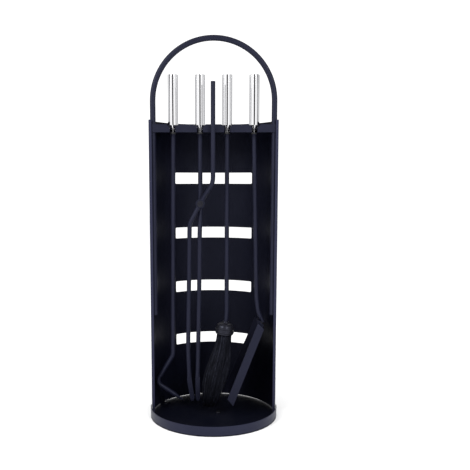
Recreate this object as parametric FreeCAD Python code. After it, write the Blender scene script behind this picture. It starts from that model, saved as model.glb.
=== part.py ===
import FreeCAD, Part
import math
import os

from FreeCAD import Vector

# Fireplace tool set: a half-round sheet stand with a carrying arch, and a poker,
# log tongs, brush and shovel that hang in a notched rack.
# Millimetres. +Z is up, +X is to the right seen from the front, the open front
# faces -Y. The origin is at the centre of the base's underside.

# Stand
BASE_RADIUS = 100.0
FLOOR_THICKNESS = 1.5
RIM_HEIGHT = 15.0
SHEET = 1.2
SHELL_OUTER_RADIUS = 98.5
SHELL_INNER_RADIUS = SHELL_OUTER_RADIUS - SHEET
SHELL_FLOOR_GAP = 1.5
SHELL_TOP = 461.0
RETURN_WIDTH = 4.4

WINDOW_COUNT = 4
WINDOW_PITCH = 90.0
WINDOW_HEIGHT = 18.0
WINDOW_HALF_WIDTH = 62.6
TOP_WINDOW_SILL = 364.4
WINDOW_CORNER = 1.5

# Carrying arch
ARCH_TUBE_RADIUS = 4.3
ARCH_RADIUS = 92.4
ARCH_Z = 489.0
ARCH_Y = 7.5
ARCH_LEG_END_Z = 160.0

# Rack
BAR_FRONT_Y = 1.5
BAR_THICKNESS = 1.5
BAR_BOTTOM = 442.3
BAR_TOP = 454.2
BAR_HALF_LENGTH = 93.5
RACK_PLATE_Z = 447.9
RACK_PLATE_THICKNESS = 1.5
RACK_PLATE_RADIUS = SHELL_INNER_RADIUS - 0.2
NOTCH_PITCH = 41.5
NOTCH_HALF_WIDTH = 4.5
NOTCH_MOUTH_HALF_WIDTH = 9.3
NOTCH_CHAMFER_DEPTH = 5.0

# Foot of the shell
BRACKET_ANGLES_DEGREES = (-62.0, -20.0, 20.0)
BRACKET_HALF_WIDTH = 6.0
BRACKET_LEG = 12.0
SCREW_HEAD_RADIUS = 3.6
SCREW_HEAD_HEIGHT = 2.0
SCREW_SHANK_RADIUS = 2.0
CENTRE_SCREW_X = 7.5

# Tools
TOOL_Y = 18.0
ROD_RADIUS = 3.5
ROD_TOP_Z = 461.5
HANDLE_RADIUS = 8.0
HANDLE_BORE_RADIUS = 6.0
HANDLE_BORE_BOTTOM = 462.0
HANDLE_TOP = 527.9
CONE_TOP = 453.8
CONE_BOTTOM = 449.6
NECK_RADIUS = 4.2
NECK_BOTTOM = 442.8
CAP_THICKNESS = 1.4
PLUG_LENGTH = 8.0
PLUG_CLEARANCE = 0.1
ROD_CLEARANCE = 0.05
BUSH_LENGTH = 2.2

POKER_X = -1.5 * NOTCH_PITCH
TONGS_X = -0.5 * NOTCH_PITCH
BRUSH_X = 0.5 * NOTCH_PITCH
SHOVEL_X = 1.5 * NOTCH_PITCH

# Poker
POKER_POINT_LENGTH = 16.0
POKER_POINT_RADIUS = 1.0
POKER_BEND_RADIUS = 10.0
POKER_KNEE = Vector(-65.4, TOOL_Y, 91.7)
POKER_ELBOW = Vector(-92.6, TOOL_Y, 46.5)
POKER_TIP = Vector(-49.9, TOOL_Y, 17.2)

# Tongs
PIVOT_Z = 334.0
PIVOT_PIN_RADIUS = 2.0
PIVOT_PRESS_GAP = 0.02
PIVOT_RUNNING_GAP = 0.06
PIVOT_HEAD_RADIUS = 4.8
PIVOT_HEAD_HEIGHT = 2.2
LUG_RADIUS = 7.0
LUG_THICKNESS = 7.2
FREE_ARM_Y = 9.9
FREE_ARM_FRONT_Y = -7.0
WASHER_THICKNESS = 0.6
JAW_THICKNESS = 5.0
JAW_TOP_Z = 66.0
JAW_TIP_Z = 18.8
TONGS_BEND_RADIUS = 22.0
ARM_BELOW_PIVOT = Vector(-21.7, FREE_ARM_Y, 285.0)
ARM_MIDDLE = Vector(-22.7, FREE_ARM_Y, 203.0)
ARM_ABOVE_JAW = Vector(-24.9, FREE_ARM_Y, 90.0)
ARM_JAW_TOP_X = -25.6
ARM_JAW_TIP_X = -25.2
FREE_ARM_TOP = Vector(-0.9, FREE_ARM_FRONT_Y, 516.3)
FREE_ARM_CROOK = Vector(-0.9, FREE_ARM_FRONT_Y, 366.0)
FREE_ARM_BELOW_PIVOT = Vector(-37.3, FREE_ARM_Y, 303.0)
FREE_ARM_MIDDLE = Vector(-38.9, FREE_ARM_Y, 204.0)
FREE_ARM_ABOVE_JAW = Vector(-40.7, FREE_ARM_Y, 104.0)
FREE_ARM_JAW_TOP_X = -39.0
FREE_ARM_JAW_TIP_X = -34.4

# Shovel pan
PAN_LENGTH = 128.0
PAN_BACK_HALF_WIDTH = 30.0
PAN_FRONT_HALF_WIDTH = 45.0
PAN_WALL_HEIGHT = 12.4
PAN_BACK_SLANT = 5.7
PAN_FRONT_SLANT = 6.7
PAN_TILT_DEGREES = 22.0
PAN_HEEL = Vector(78.4, TOOL_Y, 139.9)
RIVET_RADIUS = 1.5
RIVET_HALF_PITCH = 8.0
PALM_HALF_WIDTH = 13.0
PALM_THICKNESS = 2.2
PALM_GAP = 0.05
SHOVEL_BEND_RADIUS = 18.0
SHOVEL_ROD_UPPER = Vector(68.1, TOOL_Y, 185.0)
SHOVEL_ROD_LOWER = Vector(71.0, TOOL_Y, 163.0)
SHOVEL_ROD_END = Vector(78.4, TOOL_Y, 145.6)

# Brush
HEAD_TILT_DEGREES = 7.0
HEAD_RADIUS = 14.4
HEAD_HEIGHT = 19.0
HEAD_SOCKET_DEPTH = 8.0
HEAD_RUN = 12.0
HEAD_TOP_Z = 145.5
BRUSH_BEND_RADIUS = 20.0

UP = Vector(0, 0, 1)
DEPTH = Vector(0, 1, 0)


def cylinder(radius, height, base, axis=UP):
    return Part.makeCylinder(radius, height, base, axis)


def box(low, high):
    size = high.sub(low)
    return Part.makeBox(size.x, size.y, size.z, low)


def prism_along_y(outline, y_low, y_high):
    """Solid with the (x, z) outline, from y_low to y_high."""
    points = [Vector(x, y_low, z) for x, z in outline]
    face = Part.Face(Part.makePolygon(points + points[:1]))
    return face.extrude(Vector(0, y_high - y_low, 0))


def bent_path(points, bend_radius):
    """Straight runs through the points, joined by tangent arcs."""
    edges = []
    start = points[0]
    for previous, corner, following in zip(points, points[1:], points[2:]):
        back = previous.sub(corner)
        ahead = following.sub(corner)
        run = 0.45 * min(back.Length, ahead.Length)
        back.normalize()
        ahead.normalize()
        bisector = back.add(ahead)
        if bisector.Length < 1e-4:
            continue
        bisector.normalize()
        half_opening = 0.5 * back.getAngle(ahead)
        setback = min(run, max(4.0, bend_radius / math.tan(half_opening)))
        radius = setback * math.tan(half_opening)
        middle = corner.add(bisector.multiply(radius / math.sin(half_opening) - radius))
        arc_start = corner.add(back.multiply(setback))
        arc_end = corner.add(ahead.multiply(setback))
        edges.append(Part.LineSegment(start, arc_start).toShape())
        edges.append(Part.Arc(arc_start, middle, arc_end).toShape())
        start = arc_end
    edges.append(Part.LineSegment(start, points[-1]).toShape())
    return Part.Wire(edges)


def bent_rod(points, bend_radius, radius=ROD_RADIUS):
    direction = points[1].sub(points[0])
    section = Part.Wire(Part.makeCircle(radius, points[0], direction))
    return bent_path(points, bend_radius).makePipeShell([section], True, False)


def only_solid(shape):
    return shape.Solids[0]


# ---- stand ----

def base_plate():
    plate = cylinder(BASE_RADIUS, FLOOR_THICKNESS, Vector(0, 0, 0))
    for place in bracket_screw_places() + [centre_screw_place()]:
        hole_foot = Vector(place.x, place.y, -0.5)
        plate = plate.cut(cylinder(SCREW_SHANK_RADIUS + 0.05, 2 * FLOOR_THICKNESS, hole_foot))
    return plate


def base_rim():
    height = RIM_HEIGHT - FLOOR_THICKNESS
    foot = Vector(0, 0, FLOOR_THICKNESS)
    ring = cylinder(BASE_RADIUS, height, foot).cut(cylinder(BASE_RADIUS - SHEET, height, foot))
    front_half = box(Vector(-BASE_RADIUS, -BASE_RADIUS, 0), Vector(BASE_RADIUS, 0, RIM_HEIGHT))
    return ring.common(front_half)


def window(index):
    sill = TOP_WINDOW_SILL - index * WINDOW_PITCH
    low = Vector(-WINDOW_HALF_WIDTH, 0.5 * SHELL_INNER_RADIUS, sill)
    high = Vector(WINDOW_HALF_WIDTH, 1.1 * SHELL_OUTER_RADIUS, sill + WINDOW_HEIGHT)
    opening = box(low, high)
    upright_edges = [e for e in opening.Edges if abs(e.tangentAt(0).y) > 0.9]
    return opening.makeFillet(WINDOW_CORNER, upright_edges)


def shell():
    foot = FLOOR_THICKNESS + SHELL_FLOOR_GAP
    height = SHELL_TOP - foot
    base = Vector(0, 0, foot)
    wall = cylinder(SHELL_OUTER_RADIUS, height, base).cut(cylinder(SHELL_INNER_RADIUS, height, base))
    back_half = box(Vector(-BASE_RADIUS, 0, 0), Vector(BASE_RADIUS, BASE_RADIUS, SHELL_TOP))
    sheet = wall.common(back_half)
    for side in (-1, 1):
        inner = side * (SHELL_OUTER_RADIUS - RETURN_WIDTH)
        outer = side * math.sqrt(SHELL_OUTER_RADIUS ** 2 - SHEET ** 2)
        low = Vector(min(inner, outer), 0, foot)
        high = Vector(max(inner, outer), SHEET, SHELL_TOP)
        sheet = sheet.fuse(box(low, high))
    sheet = sheet.removeSplitter()
    for index in range(WINDOW_COUNT):
        sheet = sheet.cut(window(index))
    return only_solid(sheet)


def carry_arch():
    left_foot = Vector(-ARCH_RADIUS, ARCH_Y, ARCH_LEG_END_Z)
    left = Vector(-ARCH_RADIUS, ARCH_Y, ARCH_Z)
    top = Vector(0, ARCH_Y, ARCH_Z + ARCH_RADIUS)
    right = Vector(ARCH_RADIUS, ARCH_Y, ARCH_Z)
    right_foot = Vector(ARCH_RADIUS, ARCH_Y, ARCH_LEG_END_Z)
    left_leg = Part.LineSegment(left_foot, left).toShape()
    bow = Part.Arc(left, top, right).toShape()
    right_leg = Part.LineSegment(right, right_foot).toShape()
    path = Part.Wire([left_leg, bow, right_leg])
    section = Part.Wire(Part.makeCircle(ARCH_TUBE_RADIUS, left_foot, UP))
    return path.makePipeShell([section], True, False)


def notch_places():
    return [POKER_X, TONGS_X, BRUSH_X, SHOVEL_X]


def bar_notch(x):
    """Upright notch in the bar, chamfered where it opens at the top."""
    chamfer_foot = BAR_TOP - NOTCH_CHAMFER_DEPTH
    outline = [
        (x - NOTCH_HALF_WIDTH, BAR_BOTTOM - 1),
        (x - NOTCH_HALF_WIDTH, chamfer_foot),
        (x - NOTCH_MOUTH_HALF_WIDTH, BAR_TOP),
        (x - NOTCH_MOUTH_HALF_WIDTH, BAR_TOP + 1),
        (x + NOTCH_MOUTH_HALF_WIDTH, BAR_TOP + 1),
        (x + NOTCH_MOUTH_HALF_WIDTH, BAR_TOP),
        (x + NOTCH_HALF_WIDTH, chamfer_foot),
        (x + NOTCH_HALF_WIDTH, BAR_BOTTOM - 1),
    ]
    return prism_along_y(outline, BAR_FRONT_Y - 1, BAR_FRONT_Y + BAR_THICKNESS + 1)


def rack_bar():
    """Upright front strip of the rack, before its notches are cut."""
    low = Vector(-BAR_HALF_LENGTH, BAR_FRONT_Y, BAR_BOTTOM)
    high = Vector(BAR_HALF_LENGTH, BAR_FRONT_Y + BAR_THICKNESS, BAR_TOP)
    return box(low, high)


def rack():
    """D-shaped shelf and the bar along its front, slotted from the front for each rod."""
    front = BAR_FRONT_Y + BAR_THICKNESS
    disc = cylinder(RACK_PLATE_RADIUS, RACK_PLATE_THICKNESS, Vector(0, 0, RACK_PLATE_Z))
    back_low = Vector(-BASE_RADIUS, front, RACK_PLATE_Z)
    back_high = Vector(BASE_RADIUS, BASE_RADIUS, RACK_PLATE_Z + RACK_PLATE_THICKNESS)
    plate = disc.common(box(back_low, back_high))
    slot_foot = RACK_PLATE_Z - 1
    slot_height = RACK_PLATE_THICKNESS + 2
    plate = plate.fuse(rack_bar()).removeSplitter()
    for x in notch_places():
        plate = plate.cut(bar_notch(x))
        low = Vector(x - NOTCH_HALF_WIDTH, front - 1, slot_foot)
        high = Vector(x + NOTCH_HALF_WIDTH, TOOL_Y, slot_foot + slot_height)
        plate = plate.cut(box(low, high))
        plate = plate.cut(cylinder(NOTCH_HALF_WIDTH, slot_height, Vector(x, TOOL_Y, slot_foot)))
    for side in (-1, 1):
        inner = side * (ARCH_RADIUS - ARCH_TUBE_RADIUS - 0.3)
        outer = side * BASE_RADIUS
        low = Vector(min(inner, outer), front, slot_foot)
        high = Vector(max(inner, outer), ARCH_Y + ARCH_TUBE_RADIUS + 0.3, slot_foot + slot_height)
        plate = plate.cut(box(low, high))
    return only_solid(plate)


def bracket_screw_places():
    reach = SHELL_INNER_RADIUS - 0.6 * BRACKET_LEG
    angles = [math.radians(degrees) for degrees in BRACKET_ANGLES_DEGREES]
    return [Vector(reach * math.sin(a), reach * math.cos(a), 0) for a in angles]


def centre_screw_place():
    return Vector(CENTRE_SCREW_X, 0, 0)


def foot_brackets():
    """Angle brackets that hold the shell just above the floor."""
    brackets = []
    back = SHELL_INNER_RADIUS - 0.3
    for degrees, place in zip(BRACKET_ANGLES_DEGREES, bracket_screw_places()):
        foot_low = Vector(-BRACKET_HALF_WIDTH, back - BRACKET_LEG, FLOOR_THICKNESS)
        foot = box(foot_low, Vector(BRACKET_HALF_WIDTH, back, FLOOR_THICKNESS + SHEET))
        upright_low = Vector(-BRACKET_HALF_WIDTH, back - SHEET, FLOOR_THICKNESS)
        upright = box(upright_low, Vector(BRACKET_HALF_WIDTH, back, FLOOR_THICKNESS + BRACKET_LEG))
        curve = cylinder(back, 2 * BRACKET_LEG, Vector(0, 0, 0))
        bracket = foot.fuse(upright).removeSplitter().common(curve)
        bracket.rotate(Vector(0, 0, 0), UP, -degrees)
        hole = cylinder(SCREW_SHANK_RADIUS + 0.05, 2 * BRACKET_LEG, place)
        brackets.append(only_solid(bracket.cut(hole)))
    return Part.makeCompound(brackets)


def floor_screw(place, seat_z):
    """Pan-head screw that goes down through the floor."""
    shank = cylinder(SCREW_SHANK_RADIUS, seat_z - 0.2, Vector(place.x, place.y, 0.2))
    head = cylinder(SCREW_HEAD_RADIUS, SCREW_HEAD_HEIGHT, Vector(place.x, place.y, seat_z))
    top_edges = [e for e in head.Edges if e.CenterOfMass.z > seat_z + 0.9 * SCREW_HEAD_HEIGHT]
    return only_solid(shank.fuse(head.makeFillet(1.2, top_edges[:1])).removeSplitter())


def bracket_screws():
    seat = FLOOR_THICKNESS + SHEET
    return Part.makeCompound([floor_screw(place, seat) for place in bracket_screw_places()])


def base_screw():
    return floor_screw(centre_screw_place(), FLOOR_THICKNESS)


# ---- parts that every tool with a steel handle has ----

def tool_handle(x):
    """Tube with a tapered end and a neck that sits in the rack's notch."""
    profile = [
        Vector(ROD_RADIUS + ROD_CLEARANCE, 0, NECK_BOTTOM),
        Vector(NECK_RADIUS, 0, NECK_BOTTOM),
        Vector(NECK_RADIUS, 0, CONE_BOTTOM),
        Vector(HANDLE_RADIUS, 0, CONE_TOP),
        Vector(HANDLE_RADIUS, 0, HANDLE_TOP),
        Vector(HANDLE_BORE_RADIUS, 0, HANDLE_TOP),
        Vector(HANDLE_BORE_RADIUS, 0, HANDLE_BORE_BOTTOM),
        Vector(ROD_RADIUS + ROD_CLEARANCE, 0, HANDLE_BORE_BOTTOM),
    ]
    face = Part.Face(Part.makePolygon(profile + profile[:1]))
    handle = face.revolve(Vector(0, 0, 0), UP, 360)
    handle.translate(Vector(x, TOOL_Y, 0))
    return only_solid(handle)


def handle_cap(x):
    disc = cylinder(HANDLE_RADIUS, CAP_THICKNESS, Vector(x, TOOL_Y, HANDLE_TOP))
    top_edges = [e for e in disc.Edges if e.CenterOfMass.z > HANDLE_TOP + 0.9 * CAP_THICKNESS]
    disc = disc.makeFillet(0.9, top_edges[:1])
    plug_foot = Vector(x, TOOL_Y, HANDLE_TOP - PLUG_LENGTH)
    plug = cylinder(HANDLE_BORE_RADIUS - PLUG_CLEARANCE, PLUG_LENGTH, plug_foot)
    return only_solid(disc.fuse(plug).removeSplitter())


def handle_bush(x):
    """Black ring on the rod just below the handle's neck."""
    foot = Vector(x, TOOL_Y, NECK_BOTTOM - BUSH_LENGTH - 0.1)
    bush = cylinder(NECK_RADIUS, BUSH_LENGTH, foot)
    return bush.cut(cylinder(ROD_RADIUS + ROD_CLEARANCE, BUSH_LENGTH, foot))


def rod_head(x):
    """The straight top of a tool's rod, from inside its handle to below the rack."""
    return [Vector(x, TOOL_Y, ROD_TOP_Z), Vector(x, TOOL_Y, BAR_BOTTOM - 8)]


# ---- poker ----

def poker_rod():
    """Rod with a hooked end that runs out to the left and back to a point."""
    direction = POKER_TIP.sub(POKER_ELBOW)
    direction.normalize()
    cone_start = POKER_TIP.sub(Vector(direction).multiply(POKER_POINT_LENGTH))
    points = rod_head(POKER_X) + [POKER_KNEE, POKER_ELBOW, cone_start]
    rod = bent_rod(points, POKER_BEND_RADIUS)
    point = Part.makeCone(
        ROD_RADIUS, POKER_POINT_RADIUS, POKER_POINT_LENGTH, cone_start, direction)
    return only_solid(rod.fuse(point))


# ---- tongs ----

def pivot_lug(y):
    foot = Vector(TONGS_X, y - 0.5 * LUG_THICKNESS, PIVOT_Z)
    return cylinder(LUG_RADIUS, LUG_THICKNESS, foot, DEPTH)


def pivot_bore(radius):
    return cylinder(radius, 6 * LUG_THICKNESS, Vector(TONGS_X, -LUG_THICKNESS, PIVOT_Z), DEPTH)


def jaw(top_x, tip_x):
    """Flattened end of an arm, bent inwards and a little wider than the rod."""
    outline = [
        (top_x - 2.6, JAW_TOP_Z),
        (top_x - 3.7, JAW_TOP_Z - 12),
        (tip_x - 3.6, JAW_TIP_Z + 5),
        (tip_x - 1.8, JAW_TIP_Z),
        (tip_x + 1.8, JAW_TIP_Z),
        (tip_x + 3.6, JAW_TIP_Z + 5),
        (top_x + 3.7, JAW_TOP_Z - 12),
        (top_x + 2.6, JAW_TOP_Z),
    ]
    return prism_along_y(outline, FREE_ARM_Y - 0.5 * JAW_THICKNESS, FREE_ARM_Y + 0.5 * JAW_THICKNESS)


def tongs_rod():
    """The arm that carries the handle."""
    points = rod_head(TONGS_X)
    points.append(Vector(TONGS_X, TOOL_Y, PIVOT_Z - 9))
    points += [ARM_BELOW_PIVOT, ARM_MIDDLE, ARM_ABOVE_JAW]
    points.append(Vector(ARM_JAW_TOP_X, FREE_ARM_Y, JAW_TOP_Z - 8))
    rod = bent_rod(points, TONGS_BEND_RADIUS)
    shape = rod.fuse(pivot_lug(TOOL_Y)).fuse(jaw(ARM_JAW_TOP_X, ARM_JAW_TIP_X))
    return only_solid(shape.cut(pivot_bore(PIVOT_PIN_RADIUS + PIVOT_PRESS_GAP)))


def tongs_free_arm():
    """The arm with no handle, which passes in front of the other and turns on the pin."""
    points = [
        FREE_ARM_TOP,
        FREE_ARM_CROOK,
        Vector(TONGS_X + 4, FREE_ARM_Y, PIVOT_Z + 8),
        FREE_ARM_BELOW_PIVOT,
        FREE_ARM_MIDDLE,
        FREE_ARM_ABOVE_JAW,
        Vector(FREE_ARM_JAW_TOP_X, FREE_ARM_Y, JAW_TOP_Z - 8),
    ]
    rod = bent_rod(points, TONGS_BEND_RADIUS)
    lug = pivot_lug(FREE_ARM_Y)
    shape = rod.fuse(lug).fuse(jaw(FREE_ARM_JAW_TOP_X, FREE_ARM_JAW_TIP_X))
    return only_solid(shape.cut(pivot_bore(PIVOT_PIN_RADIUS + PIVOT_RUNNING_GAP)))


def tongs_pivot_pin():
    front = FREE_ARM_Y - 0.5 * LUG_THICKNESS - 0.15
    back = TOOL_Y + 0.5 * LUG_THICKNESS + 0.05
    shank = cylinder(PIVOT_PIN_RADIUS, back - front, Vector(TONGS_X, front, PIVOT_Z), DEPTH)
    front_foot = Vector(TONGS_X, front - PIVOT_HEAD_HEIGHT, PIVOT_Z)
    front_head = cylinder(PIVOT_HEAD_RADIUS, PIVOT_HEAD_HEIGHT, front_foot, DEPTH)
    back_foot = Vector(TONGS_X, back, PIVOT_Z)
    back_head = cylinder(PIVOT_HEAD_RADIUS, PIVOT_HEAD_HEIGHT, back_foot, DEPTH)
    return only_solid(shank.fuse(front_head).fuse(back_head).removeSplitter())


def tongs_washer():
    middle = 0.5 * (FREE_ARM_Y + TOOL_Y)
    foot = Vector(TONGS_X, middle - 0.5 * WASHER_THICKNESS, PIVOT_Z)
    washer = cylinder(LUG_RADIUS - 1, WASHER_THICKNESS, foot, DEPTH)
    hole = cylinder(PIVOT_PIN_RADIUS + PIVOT_PRESS_GAP, WASHER_THICKNESS, foot, DEPTH)
    return washer.cut(hole)


# ---- brush ----

def head_axis():
    """Direction from the head's top towards the bristles."""
    tilt = math.radians(HEAD_TILT_DEGREES)
    return Vector(-math.sin(tilt), 0, -math.cos(tilt))


def along_head(distance):
    """Point on the head's axis, at a distance below its top."""
    tilt = math.radians(HEAD_TILT_DEGREES)
    top = Vector(BRUSH_X - HEAD_RUN * math.sin(tilt), TOOL_Y, HEAD_TOP_Z)
    return top.add(head_axis().multiply(distance))


def turned_on_head(profile):
    """Turned solid on the head's axis; each corner is (radius, distance below the head's top)."""
    points = [Vector(radius, 0, -below) for radius, below in profile]
    face = Part.Face(Part.makePolygon(points + points[:1]))
    solid = face.revolve(Vector(0, 0, 0), UP, 360)
    solid.rotate(Vector(0, 0, 0), DEPTH, HEAD_TILT_DEGREES)
    solid.translate(along_head(0))
    return only_solid(solid)


def brush_rod():
    points = rod_head(BRUSH_X) + [along_head(-HEAD_RUN), along_head(HEAD_SOCKET_DEPTH - 1)]
    return bent_rod(points, BRUSH_BEND_RADIUS)


def brush_head():
    """Turned cap with a domed top and a skirt that holds the bristles."""
    bore = ROD_RADIUS + ROD_CLEARANCE
    return turned_on_head([
        (0, HEAD_SOCKET_DEPTH),
        (bore, HEAD_SOCKET_DEPTH),
        (bore, -1.5),
        (bore + 1.6, -1.5),
        (bore + 2.2, 1.0),
        (0.72 * HEAD_RADIUS, 2.2),
        (HEAD_RADIUS - 1.4, 4.6),
        (HEAD_RADIUS - 0.4, 7.4),
        (HEAD_RADIUS - 0.4, HEAD_HEIGHT),
        (0, HEAD_HEIGHT),
    ])


def brush_band():
    """Ring with two beads, which clamps the skirt round the bristles."""
    inner = HEAD_RADIUS - 0.4 + ROD_CLEARANCE
    return turned_on_head([
        (inner, 8.4),
        (inner + 0.5, 8.4),
        (inner + 1.0, 9.2),
        (inner + 1.0, 10.4),
        (inner + 0.5, 11.2),
        (inner + 0.5, 14.2),
        (inner + 1.0, 15.0),
        (inner + 1.0, 16.2),
        (inner + 0.5, 17.0),
        (inner, 17.0),
    ])


def bristle_section(centre, half_width, half_depth, lean_degrees):
    """Ellipse across the bundle, leaning with it."""
    ellipse = Part.Wire(Part.Ellipse(Vector(0, 0, 0), half_width, half_depth).toShape())
    ellipse.rotate(Vector(0, 0, 0), DEPTH, lean_degrees)
    ellipse.translate(centre)
    return ellipse


def brush_bristles():
    """Closed solid of the bristle bundle, which sweeps forwards and to the left."""
    root = along_head(HEAD_HEIGHT + 0.1)
    sections = [
        bristle_section(root, half_width=12.4, half_depth=12.2, lean_degrees=HEAD_TILT_DEGREES),
        bristle_section(Vector(15.2, 16.4, 109), half_width=13.9, half_depth=11.6, lean_degrees=8),
        bristle_section(Vector(11.6, 12.0, 91), half_width=17.6, half_depth=11.8, lean_degrees=10),
        bristle_section(Vector(6.4, 5.6, 72), half_width=20.0, half_depth=10.4, lean_degrees=10),
        bristle_section(Vector(1.0, -0.8, 52), half_width=19.2, half_depth=8.6, lean_degrees=8),
        bristle_section(Vector(-3.0, -5.0, 33), half_width=15.3, half_depth=7.2, lean_degrees=5),
        bristle_section(Vector(-8.0, -8.0, 14), half_width=10.4, half_depth=5.0, lean_degrees=0),
    ]
    return Part.makeLoft(sections, True, False)


# ---- shovel ----
# The pan is drawn lying down: x runs from heel to lip, y across, z up its walls.

def pan_half_width(along):
    widening = (PAN_FRONT_HALF_WIDTH - PAN_BACK_HALF_WIDTH) / PAN_LENGTH
    return PAN_BACK_HALF_WIDTH + widening * along


def pan_block(outline, inset):
    """Block with the (along, up) outline, as wide as the pan less an inset each side."""
    left = [Vector(along, pan_half_width(along) - inset, up) for along, up in outline]
    right = [Vector(along, inset - pan_half_width(along), up) for along, up in outline]
    faces = [Part.Face(Part.makePolygon(side + side[:1])) for side in (left, right)]
    for i in range(len(outline)):
        j = (i + 1) % len(outline)
        faces.append(Part.Face(Part.makePolygon([left[i], left[j], right[j], right[i], left[i]])))
    return Part.Solid(Part.Shell(faces))


def hung(shape):
    """Moves a shape from the pan's lying-down frame to where the pan hangs."""
    tilt = math.radians(PAN_TILT_DEGREES)
    along = Vector(-math.sin(tilt), 0, -math.cos(tilt))
    up = Vector(-math.cos(tilt), 0, math.sin(tilt))
    across = up.cross(along)
    matrix = FreeCAD.Matrix(
        along.x, across.x, up.x, PAN_HEEL.x,
        along.y, across.y, up.y, PAN_HEEL.y,
        along.z, across.z, up.z, PAN_HEEL.z,
        0, 0, 0, 1)
    shape.Placement = FreeCAD.Placement(matrix).multiply(shape.Placement)
    return shape


def inward():
    """Direction straight through the pan's slanted back wall, from outside to inside."""
    direction = Vector(PAN_WALL_HEIGHT, 0, PAN_BACK_SLANT)
    direction.normalize()
    return direction


def rivet_places():
    """Points on the outside of the back wall, half way up."""
    middle = Vector(-0.5 * PAN_BACK_SLANT, 0, 0.5 * PAN_WALL_HEIGHT)
    return [middle.add(Vector(0, side * RIVET_HALF_PITCH, 0)) for side in (-1, 1)]


def rivet_holes():
    holes = []
    for place in rivet_places():
        start = place.sub(inward().multiply(5.0))
        holes.append(hung(cylinder(RIVET_RADIUS + 0.05, 8.0, start, inward())))
    return holes


def shovel_pan():
    outer = pan_block([
        (0, 0),
        (PAN_LENGTH, 0),
        (PAN_LENGTH - PAN_FRONT_SLANT, PAN_WALL_HEIGHT),
        (-PAN_BACK_SLANT, PAN_WALL_HEIGHT),
    ], 0)
    lean = PAN_BACK_SLANT / PAN_WALL_HEIGHT
    back = SHEET * math.hypot(1, lean)
    above = PAN_WALL_HEIGHT + 1
    beyond = PAN_LENGTH + 10
    inner = pan_block([
        (back - lean * SHEET, SHEET),
        (beyond, SHEET),
        (beyond, above),
        (back - lean * above, above),
    ], SHEET)
    pan = hung(outer.cut(inner))
    for hole in rivet_holes():
        pan = pan.cut(hole)
    return only_solid(pan)


def shovel_palm():
    """Flattened end of the rod, flat against the outside of the pan's back wall."""
    wall = Vector(-PAN_BACK_SLANT, 0, PAN_WALL_HEIGHT)
    near = inward().multiply(-PALM_GAP)
    far = inward().multiply(-PALM_GAP - PALM_THICKNESS)
    low = Vector(wall).multiply(0.06)
    high = Vector(wall).multiply(0.96)
    corners = [low.add(near), high.add(near), high.add(far), low.add(far)]
    points = [corner.add(Vector(0, -PALM_HALF_WIDTH, 0)) for corner in corners]
    face = Part.Face(Part.makePolygon(points + points[:1]))
    return hung(face.extrude(Vector(0, 2 * PALM_HALF_WIDTH, 0)))


def shovel_rod():
    points = rod_head(SHOVEL_X) + [SHOVEL_ROD_UPPER, SHOVEL_ROD_LOWER, SHOVEL_ROD_END]
    shape = bent_rod(points, SHOVEL_BEND_RADIUS).fuse(shovel_palm())
    for hole in rivet_holes():
        shape = shape.cut(hole)
    return only_solid(shape)


def shovel_rivets():
    """Rivets with a flat head on each side of the back wall and palm."""
    rivets = []
    head = 1.2
    for place in rivet_places():
        outside = place.sub(inward().multiply(PALM_GAP + PALM_THICKNESS + 0.05))
        inside = place.add(inward().multiply(SHEET + 0.05))
        outer_foot = outside.sub(inward().multiply(head))
        shank = cylinder(RIVET_RADIUS, inside.sub(outside).Length, outside, inward())
        outer_head = cylinder(2 * RIVET_RADIUS, head, outer_foot, inward())
        inner_head = cylinder(2 * RIVET_RADIUS, head, inside, inward())
        rivet = shank.fuse(outer_head).fuse(inner_head).removeSplitter()
        rivets.append(only_solid(hung(rivet)))
    return Part.makeCompound(rivets)


def build():
    nodes = {
        "base_plate": base_plate(),
        "base_rim": base_rim(),
        "base_screw": base_screw(),
        "shell": shell(),
        "foot_brackets": foot_brackets(),
        "bracket_screws": bracket_screws(),
        "rack": rack(),
        "carry_arch": carry_arch(),
        "poker_rod": poker_rod(),
        "tongs_rod": tongs_rod(),
        "tongs_free_arm": tongs_free_arm(),
        "tongs_pivot_pin": tongs_pivot_pin(),
        "tongs_washer": tongs_washer(),
        "brush_rod": brush_rod(),
        "brush_head": brush_head(),
        "brush_band": brush_band(),
        "brush_bristles": brush_bristles(),
        "shovel_rod": shovel_rod(),
        "shovel_pan": shovel_pan(),
        "shovel_rivets": shovel_rivets(),
    }
    handles = {"poker": POKER_X, "tongs": TONGS_X, "brush": BRUSH_X, "shovel": SHOVEL_X}
    for tool, x in handles.items():
        nodes[tool + "_handle"] = tool_handle(x)
        nodes[tool + "_cap"] = handle_cap(x)
        nodes[tool + "_bush"] = handle_bush(x)
    return nodes


def main():
    os.makedirs("parts", exist_ok=True)
    for name, shape in build().items():
        shape.exportStep(os.path.join("parts", name + ".step"))
        print(f"{name:18s} valid {shape.isValid()} solids {len(shape.Solids)} volume {shape.Volume:.0f}")


main()
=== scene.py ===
import math
import random

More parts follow.
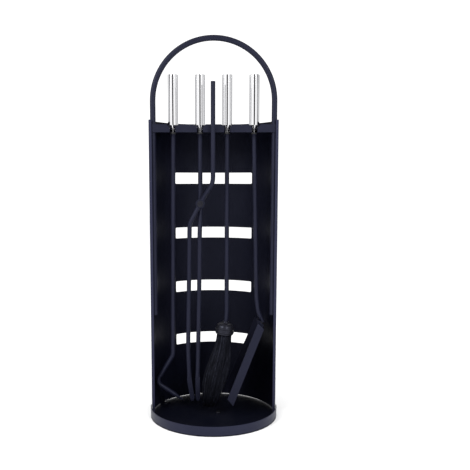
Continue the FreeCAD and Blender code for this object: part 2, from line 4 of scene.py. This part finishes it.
import bpy
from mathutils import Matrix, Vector

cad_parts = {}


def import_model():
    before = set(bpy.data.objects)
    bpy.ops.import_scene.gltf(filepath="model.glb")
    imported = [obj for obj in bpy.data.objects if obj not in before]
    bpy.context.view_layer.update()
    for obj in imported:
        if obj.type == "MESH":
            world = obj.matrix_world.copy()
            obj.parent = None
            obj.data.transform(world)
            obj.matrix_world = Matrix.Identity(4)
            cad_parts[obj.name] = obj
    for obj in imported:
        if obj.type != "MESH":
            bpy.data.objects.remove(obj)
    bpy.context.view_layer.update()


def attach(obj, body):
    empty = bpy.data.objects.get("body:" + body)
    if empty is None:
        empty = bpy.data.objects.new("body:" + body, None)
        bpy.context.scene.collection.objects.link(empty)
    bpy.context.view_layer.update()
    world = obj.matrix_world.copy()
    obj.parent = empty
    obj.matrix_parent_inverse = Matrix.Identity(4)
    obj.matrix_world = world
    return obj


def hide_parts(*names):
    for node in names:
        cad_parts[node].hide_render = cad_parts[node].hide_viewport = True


# Fireplace tool set. Metres, in the frame of the CAD model: +Z up, front faces -Y.

SHEET_METAL = ("base_plate", "foot_brackets")
COATED = (
    "rack", "carry_arch", "poker_rod", "tongs_rod",
    "tongs_free_arm", "brush_rod", "shovel_rod", "shovel_pan",
)
RIM = ("base_rim",)
FERRULE = ("brush_head", "brush_band")
FASTENERS = ("base_screw", "bracket_screws", "tongs_pivot_pin", "tongs_washer", "shovel_rivets")
TOOLS = ("poker", "tongs", "brush", "shovel")

# Bristle bundle, from the ferrule to the tips: centre, half width, half depth.
BUNDLE = (
    (Vector((0.0170, 0.0180, 0.1262)), 0.0120, 0.0118),
    (Vector((0.0152, 0.0164, 0.1090)), 0.0134, 0.0112),
    (Vector((0.0116, 0.0120, 0.0910)), 0.0170, 0.0114),
    (Vector((0.0064, 0.0056, 0.0720)), 0.0193, 0.0102),
    (Vector((0.0010, -0.0008, 0.0520)), 0.0187, 0.0085),
    (Vector((-0.0030, -0.0050, 0.0330)), 0.0149, 0.0070),
    (Vector((-0.0080, -0.0080, 0.0145)), 0.0100, 0.0048),
)
STRAND_COUNT = 1500
STRAND_STEPS = 9
STRAND_SIDES = 4
STRAND_RADIUS = 0.00046
STRAND_THICKNESS_RANGE = (0.75, 1.2)
STRAND_SEED = 11
OUTERMOST_STRAND = 0.97
MOST_TWIST = 0.35
LEAST_SWELL = -0.2
MOST_SWELL = 0.12
TIP_UNEVENNESS = 0.28
RIPPLE = 0.05
TIP_TAPER = 0.65

CORE_RINGS = 15
CORE_SIDES = 28
CORE_REACH = 0.88
CORE_FILL = 0.8
CORE_NARROWING = 0.25

# Linear colours, as (dark, light) pairs that a coat drifts between.
COAT_TONES = ((0.0045, 0.0050, 0.0125), (0.0070, 0.0075, 0.0170))
FLOOR_COAT_TONES = ((0.0015, 0.0018, 0.0048), (0.0028, 0.0032, 0.0075))
# The shell's tones are darker than the coat on the other parts: painted shade, standing in for the
# shade inside the open shell.
SHELL_SHADED_TONES = ((0.0022, 0.0025, 0.0070), (0.0038, 0.0042, 0.0098))
# Painted highlight: the shell's front few millimetres get this lighter colour, standing in for light
# catching its front edges.
SHELL_LIT_EDGE_COLOR = (0.018, 0.019, 0.038)
SHELL_LIT_EDGE_DEPTH = 0.003
RIM_TONES = ((0.009, 0.010, 0.022), (0.014, 0.015, 0.031))
FERRULE_TONES = ((0.007, 0.007, 0.010), (0.011, 0.011, 0.015))
COAT_TINT = (0.72, 0.76, 1.0, 1.0)

# Grey that polished metal reflects, by degrees round the object from its front.
REFLECTED_GREYS = (
    (-152, 1.0), (-140, 0.35), (-116, 0.5), (-102, 1.0),
    (-15, 1.0), (-12, 0.0), (12, 0.0), (15, 1.0),
    (40, 1.0), (52, 0.80), (112, 0.72), (140, 0.25), (162, 0.9),
)
WHITE = (1, 1, 1, 1)
WORLD_STRENGTH = 1.2

# Sockets of the colour Mix node, which share their names with its other modes.
MIX_FACTOR, MIX_FIRST, MIX_SECOND, MIX_RESULT = 0, 6, 7, 2

FLOOR_HALF_SIZE = 6.0
FLOOR_DROP = 0.0002

KEY_PLACE, KEY_TARGET = (-1.35, -1.35, 1.3), (0, 0, 0.3)
KEY_SIZE, KEY_POWER = 0.9, 22
FILL_PLACE, FILL_TARGET = (0.85, -1.6, 1.2), (0, 0, 0.25)
FILL_SIZE, FILL_POWER = 0.7, 14

CAMERA_PLACE = (0, -1.0438, 0.3719)
CAMERA_DOWN_DEGREES = 7.859
CAMERA_LENS = 51.86
CAMERA_SENSOR = 36
CAMERA_SHIFT = (0.0455, 0.08)


# ---- materials ----

class NodeMaterial:
    """Principled material with short calls for the nodes that feed it."""

    def __init__(self, name):
        self.material = bpy.data.materials.new(name)
        self.material.use_nodes = True
        self.tree = self.material.node_tree
        self.shader = self.tree.nodes["Principled BSDF"]
        self.coordinates = self.node("ShaderNodeTexCoord").outputs["Object"]

    def node(self, kind):
        return self.tree.nodes.new(kind)

    def link(self, output, target):
        self.tree.links.new(output, target)

    def value(self, socket, number):
        self.shader.inputs[socket].default_value = number

    def stretched(self, scale):
        mapping = self.node("ShaderNodeMapping")
        mapping.inputs["Scale"].default_value = scale
        self.link(self.coordinates, mapping.inputs["Vector"])
        return mapping.outputs["Vector"]

    def noise(self, scale, detail=3.0, roughness=0.5, vector=None):
        texture = self.node("ShaderNodeTexNoise")
        texture.inputs["Scale"].default_value = scale
        texture.inputs["Detail"].default_value = detail
        texture.inputs["Roughness"].default_value = roughness
        self.link(vector or self.coordinates, texture.inputs["Vector"])
        return texture.outputs["Fac"]

    def ramp(self, factor, stops):
        ramp = self.node("ShaderNodeValToRGB")
        elements = ramp.color_ramp.elements
        elements[0].position, elements[0].color = stops[0][0], (*stops[0][1], 1)
        elements[1].position, elements[1].color = stops[-1][0], (*stops[-1][1], 1)
        for position, color in stops[1:-1]:
            elements.new(position).color = (*color, 1)
        self.link(factor, ramp.inputs["Fac"])
        return ramp.outputs["Color"]

    def between(self, factor, low, high, out_low, out_high):
        remap = self.node("ShaderNodeMapRange")
        remap.inputs["From Min"].default_value = low
        remap.inputs["From Max"].default_value = high
        remap.inputs["To Min"].default_value = out_low
        remap.inputs["To Max"].default_value = out_high
        self.link(factor, remap.inputs["Value"])
        return remap.outputs["Result"]

    def color(self, output):
        self.link(output, self.shader.inputs["Base Color"])

    def roughness(self, output):
        self.link(output, self.shader.inputs["Roughness"])

    def bump(self, height, strength, distance):
        bump = self.node("ShaderNodeBump")
        bump.inputs["Strength"].default_value = strength
        bump.inputs["Distance"].default_value = distance
        self.link(height, bump.inputs["Height"])
        self.link(bump.outputs["Normal"], self.shader.inputs["Normal"])


def powder_coat(name, tones, gloss, shine=0.22, lit_edge_color=None):
    """Fine-textured satin coat whose tone drifts a little over the sheet.

    With an edge colour given, the first few millimetres behind the sheet's front plane take that
    colour: a painted highlight where the front edges catch the light.
    """
    dark, light = tones
    coat = NodeMaterial(name)
    drift = coat.noise(14, 4)
    tone = coat.ramp(drift, [(0.3, dark), (0.7, light)])
    # Painted highlight along the sheet's front edge, where light catches it.
    if lit_edge_color:
        place = coat.node("ShaderNodeSeparateXYZ")
        coat.link(coat.coordinates, place.inputs[0])
        mix = coat.node("ShaderNodeMix")
        mix.data_type = "RGBA"
        lit_edge_mask = coat.between(place.outputs["Y"], 0.0, SHELL_LIT_EDGE_DEPTH, 1.0, 0.0)
        coat.link(lit_edge_mask, mix.inputs[MIX_FACTOR])
        coat.link(tone, mix.inputs[MIX_FIRST])
        mix.inputs[MIX_SECOND].default_value = (*lit_edge_color, 1)
        tone = mix.outputs[MIX_RESULT]
    coat.color(tone)
    coat.roughness(coat.between(coat.noise(60, 4), 0.3, 0.7, gloss - 0.05, gloss + 0.06))
    coat.value("Specular IOR Level", shine)
    coat.value("Specular Tint", COAT_TINT)
    coat.bump(coat.noise(1700, 2), 0.22, 0.0002)
    return coat.material


def polished_steel():
    """Mirror finish with faint lengthwise buffing marks."""
    steel = NodeMaterial("polished steel")
    marks = steel.noise(90, 3, 0.6, steel.stretched((9, 9, 0.4)))
    steel.color(steel.ramp(marks, [(0.25, (0.76, 0.76, 0.78)), (0.75, (0.82, 0.82, 0.83))]))
    steel.roughness(steel.between(marks, 0.3, 0.7, 0.07, 0.09))
    steel.value("Metallic", 1.0)
    return steel.material


def blackened_steel():
    screw = NodeMaterial("blackened steel")
    wear = screw.noise(420, 4)
    screw.color(screw.ramp(wear, [(0.35, (0.006, 0.006, 0.010)), (0.8, (0.020, 0.021, 0.032))]))
    screw.roughness(screw.between(wear, 0.3, 0.7, 0.32, 0.5))
    screw.value("Metallic", 0.7)
    screw.bump(screw.noise(1500, 2), 0.15, 0.0002)
    return screw.material


def bush_plastic():
    bush = NodeMaterial("bush plastic")
    grain = bush.noise(900, 2)
    bush.color(bush.ramp(grain, [(0.3, (0.012, 0.012, 0.013)), (0.7, (0.022, 0.022, 0.024))]))
    bush.roughness(bush.between(grain, 0.3, 0.7, 0.5, 0.62))
    bush.bump(grain, 0.15, 0.0002)
    return bush.material


def bristle_fibre():
    """Dark coarse fibre, in streaks that differ from strand to strand."""
    fibre = NodeMaterial("bristle fibre")
    strand = fibre.node("ShaderNodeNewGeometry").outputs["Random Per Island"]
    streaks = fibre.noise(260, 3, 0.6, fibre.stretched((4, 4, 0.5)))
    tone = fibre.node("ShaderNodeMath")
    tone.operation = "MULTIPLY"
    fibre.link(strand, tone.inputs[0])
    fibre.link(fibre.between(streaks, 0.3, 0.7, 0.5, 1.0), tone.inputs[1])
    fibre.color(fibre.ramp(tone.outputs[0], [
        (0.1, (0.0008, 0.0009, 0.0018)),
        (0.6, (0.0030, 0.0033, 0.0060)),
        (0.9, (0.030, 0.032, 0.048)),
    ]))
    fibre.roughness(fibre.between(streaks, 0.3, 0.7, 0.42, 0.6))
    fibre.value("Specular IOR Level", 0.15)
    fibre.value("Specular Tint", COAT_TINT)
    fibre.bump(fibre.noise(2500, 2), 0.2, 0.0001)
    return fibre.material


def floor_paint():
    floor = NodeMaterial("pale floor")
    floor.color(floor.ramp(floor.noise(3, 3), [(0.3, (0.92, 0.92, 0.92)), (0.7, (0.94, 0.94, 0.94))]))
    floor.value("Roughness", 0.9)
    floor.value("Specular IOR Level", 0.1)
    return floor.material


def paint(names, material):
    for name in names:
        target = bpy.data.objects[name]
        if not target.material_slots:
            target.data.materials.append(material)
        for holder in target.material_slots:
            holder.link = "OBJECT"
            holder.material = material


def paint_cad_nodes():
    paint(COATED, powder_coat("black coat", COAT_TONES, 0.46))
    paint(SHEET_METAL, powder_coat("floor coat", FLOOR_COAT_TONES, 0.5, 0.10))
    paint(["shell"], powder_coat("shell coat", SHELL_SHADED_TONES, 0.5, 0.14, SHELL_LIT_EDGE_COLOR))
    paint(RIM, powder_coat("rim coat", RIM_TONES, 0.42))
    paint(FERRULE, powder_coat("ferrule coat", FERRULE_TONES, 0.3))
    paint(FASTENERS, blackened_steel())
    paint([tool + "_bush" for tool in TOOLS], bush_plastic())
    bright = [tool + "_handle" for tool in TOOLS] + [tool + "_cap" for tool in TOOLS]
    paint(bright, polished_steel())


# ---- bristles ----

def bundle_at(fraction):
    """Centre, half width and half depth of the bundle, smooth along its length."""
    place = fraction * (len(BUNDLE) - 1)
    index = min(int(place), len(BUNDLE) - 2)
    blend = place - index
    around = [BUNDLE[max(0, min(len(BUNDLE) - 1, index + k))] for k in (-1, 0, 1, 2)]

    def smooth(values):
        before, start, end, after = values
        rise = end - before
        fall = after - start
        square, cube = blend ** 2, blend ** 3
        return (start * (2 * cube - 3 * square + 1) + 0.5 * rise * (cube - 2 * square + blend)
                + end * (3 * square - 2 * cube) + 0.5 * fall * (cube - square))

    return tuple(smooth([section[k] for section in around]) for k in range(3))


def bundle_point(fraction, radius, angle):
    centre, half_width, half_depth = bundle_at(fraction)
    offset = Vector((half_width * math.cos(angle), half_depth * math.sin(angle), 0))
    return centre + radius * offset


def strand_path(rng):
    """One fibre: it keeps its place in the bundle, wanders slightly and ends at its own length."""
    radius = OUTERMOST_STRAND * math.sqrt(rng.random())
    angle = rng.uniform(0, 2 * math.pi)
    twist = rng.uniform(-MOST_TWIST, MOST_TWIST)
    swell = rng.uniform(LEAST_SWELL, MOST_SWELL)
    reach = 1 - TIP_UNEVENNESS * rng.random() ** 1.6
    points = []
    for step in range(STRAND_STEPS):
        along = step / (STRAND_STEPS - 1)
        ripple = RIPPLE * math.sin(5 * along + 20 * angle)
        spread = max(0.0, min(0.98, radius * (1 + swell * along) + ripple * along))
        points.append(bundle_point(along * reach, spread, angle + twist * along))
    return points


def add_tube(points, radius, vertices, faces):
    """Four-sided tapered tube along the points, closed at both ends."""
    first = len(vertices)
    last_step = len(points) - 1
    for step, point in enumerate(points):
        heading = points[min(step + 1, last_step)] - points[max(step - 1, 0)]
        side = heading.cross(Vector((0.3, 1, 0.1))).normalized()
        other = heading.cross(side).normalized()
        taper = radius * (1 - TIP_TAPER * (step / last_step) ** 3)
        for corner in range(STRAND_SIDES):
            turn = 2 * math.pi * corner / STRAND_SIDES
            vertices.append(point + taper * (math.cos(turn) * side + math.sin(turn) * other))
    for step in range(last_step):
        low = first + step * STRAND_SIDES
        for corner in range(STRAND_SIDES):
            following = (corner + 1) % STRAND_SIDES
            faces.append((low + corner, low + following,
                          low + STRAND_SIDES + following, low + STRAND_SIDES + corner))
    ends = (first, first + last_step * STRAND_SIDES)
    faces.append(tuple(ends[0] + corner for corner in reversed(range(STRAND_SIDES))))
    faces.append(tuple(ends[1] + corner for corner in range(STRAND_SIDES)))


def mesh_object(name, vertices, faces, material):
    mesh = bpy.data.meshes.new(name)
    mesh.from_pydata(vertices, [], faces)
    mesh.update()
    mesh.materials.append(material)
    mesh.polygons.foreach_set("use_smooth", [True] * len(mesh.polygons))
    piece = bpy.data.objects.new(name, mesh)
    bpy.context.collection.objects.link(piece)
    return piece


def bristle_strands(material):
    rng = random.Random(STRAND_SEED)
    vertices, faces = [], []
    for _ in range(STRAND_COUNT):
        radius = STRAND_RADIUS * rng.uniform(*STRAND_THICKNESS_RANGE)
        add_tube(strand_path(rng), radius, vertices, faces)
    return mesh_object("bristle_strands", vertices, faces, material)


def bristle_core(material):
    """Dark filling inside the strands, so that no daylight shows through them."""
    rings, sides = CORE_RINGS, CORE_SIDES
    vertices, faces = [], []
    for ring in range(rings):
        fraction = CORE_REACH * ring / (rings - 1)
        fill = CORE_FILL - CORE_NARROWING * (ring / (rings - 1)) ** 2
        for side in range(sides):
            vertices.append(bundle_point(fraction, fill, 2 * math.pi * side / sides))
    for ring in range(rings - 1):
        for side in range(sides):
            low, following = ring * sides, (side + 1) % sides
            faces.append((low + following, low + side,
                          low + sides + side, low + sides + following))
    faces.append(tuple(range(sides)))
    faces.append(tuple(reversed(range((rings - 1) * sides, rings * sides))))
    return mesh_object("bristle_core", vertices, faces, material)


def add_bristles():
    fibre = bristle_fibre()
    strands = bristle_strands(fibre)
    core = bristle_core(fibre)
    for piece in (strands, core):
        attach(piece, "brush")
    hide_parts("brush_bristles")


# ---- studio ----

def add_floor():
    half = FLOOR_HALF_SIZE
    corners = [(-half, -half, 0), (half, -half, 0), (half, half, 0), (-half, half, 0)]
    vertices = [Vector(corner) - Vector((0, 0, FLOOR_DROP)) for corner in corners]
    mesh_object("floor", vertices, [(0, 1, 2, 3)], floor_paint())


def greys_by_direction(tree):
    """Grey of REFLECTED_GREYS for the direction of a ray, seen from above."""
    coordinates = tree.nodes.new("ShaderNodeTexCoord")
    parts = tree.nodes.new("ShaderNodeSeparateXYZ")
    forward = tree.nodes.new("ShaderNodeMath")
    forward.operation = "MULTIPLY"
    forward.inputs[1].default_value = -1
    turn = tree.nodes.new("ShaderNodeMath")
    turn.operation = "ARCTAN2"
    fraction = tree.nodes.new("ShaderNodeMapRange")
    fraction.inputs["From Min"].default_value = -math.pi
    fraction.inputs["From Max"].default_value = math.pi
    ramp = tree.nodes.new("ShaderNodeValToRGB")
    elements = ramp.color_ramp.elements
    elements[0].color = WHITE
    elements[1].color = WHITE
    for degrees, grey in REFLECTED_GREYS:
        elements.new(0.5 + degrees / 360).color = (grey, grey, grey, 1)
    tree.links.new(coordinates.outputs["Generated"], parts.inputs[0])
    tree.links.new(parts.outputs["Y"], forward.inputs[0])
    tree.links.new(parts.outputs["X"], turn.inputs[0])
    tree.links.new(forward.outputs[0], turn.inputs[1])
    tree.links.new(turn.outputs[0], fraction.inputs["Value"])
    tree.links.new(fraction.outputs["Result"], ramp.inputs["Fac"])
    return ramp.outputs["Color"]


def add_world():
    """White surroundings, with a dark strip and two grey panels that only reflections see."""
    world = bpy.data.worlds.new("studio")
    bpy.context.scene.world = world
    world.use_nodes = True
    tree = world.node_tree
    background = tree.nodes["Background"]
    background.inputs["Strength"].default_value = WORLD_STRENGTH
    only_reflected = tree.nodes.new("ShaderNodeMix")
    only_reflected.data_type = "RGBA"
    only_reflected.inputs[MIX_FIRST].default_value = WHITE
    ray = tree.nodes.new("ShaderNodeLightPath")
    tree.links.new(ray.outputs["Is Glossy Ray"], only_reflected.inputs[MIX_FACTOR])
    tree.links.new(greys_by_direction(tree), only_reflected.inputs[MIX_SECOND])
    tree.links.new(only_reflected.outputs[MIX_RESULT], background.inputs["Color"])


def add_light(name, place, target, size, power):
    data = bpy.data.lights.new(name, "AREA")
    data.size = size
    data.energy = power
    light = bpy.data.objects.new(name, data)
    light.location = place
    light.rotation_euler = (Vector(target) - Vector(place)).to_track_quat("-Z", "Y").to_euler()
    bpy.context.collection.objects.link(light)


def add_camera():
    data = bpy.data.cameras.new("camera")
    data.sensor_width = CAMERA_SENSOR
    data.lens = CAMERA_LENS
    data.shift_x, data.shift_y = CAMERA_SHIFT
    camera = bpy.data.objects.new("camera", data)
    camera.location = CAMERA_PLACE
    camera.rotation_euler = (math.radians(90 - CAMERA_DOWN_DEGREES), 0, 0)
    bpy.context.collection.objects.link(camera)
    bpy.context.scene.camera = camera


def main():
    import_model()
    paint_cad_nodes()
    add_bristles()
    add_floor()
    add_world()
    add_light("key", KEY_PLACE, KEY_TARGET, KEY_SIZE, KEY_POWER)
    add_light("fill", FILL_PLACE, FILL_TARGET, FILL_SIZE, FILL_POWER)
    add_camera()
    bpy.context.scene.view_settings.view_transform = "Standard"


main()
